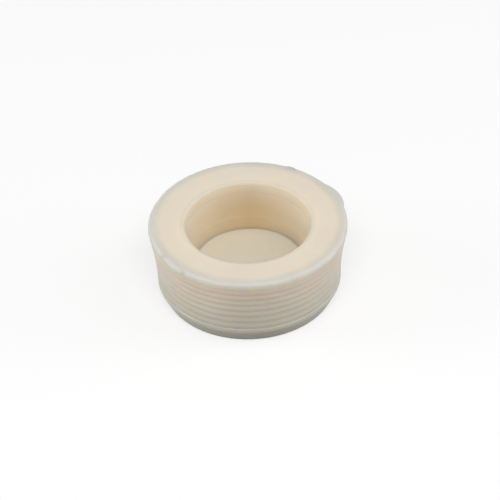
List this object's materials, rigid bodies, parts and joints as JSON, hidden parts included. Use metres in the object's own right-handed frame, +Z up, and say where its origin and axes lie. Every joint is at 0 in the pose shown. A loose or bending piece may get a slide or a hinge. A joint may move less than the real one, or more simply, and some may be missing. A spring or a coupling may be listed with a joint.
{
  "type": "cask keystone",
  "caption": "Ribbed, tapered plastic plug for a cask's tap hole, with a knock-out disc in its middle that the tap is driven through.",
  "frame": {"origin": "middle of the base, in the plane of the ring that it stands on", "axes": "+Z up along the plug's axis, from the small end to the top face; the low stub that the moulding gate left on the rim lies 22 degrees from +X towards +Y"},
  "size_m": [0.042, 0.042, 0.0172],
  "materials": {
    "ivory_plastic": "satin, slightly translucent moulded plastic"
  },
  "bodies": {
    "root": {"keystone": "ivory_plastic"}
  },
  "joints": []
}
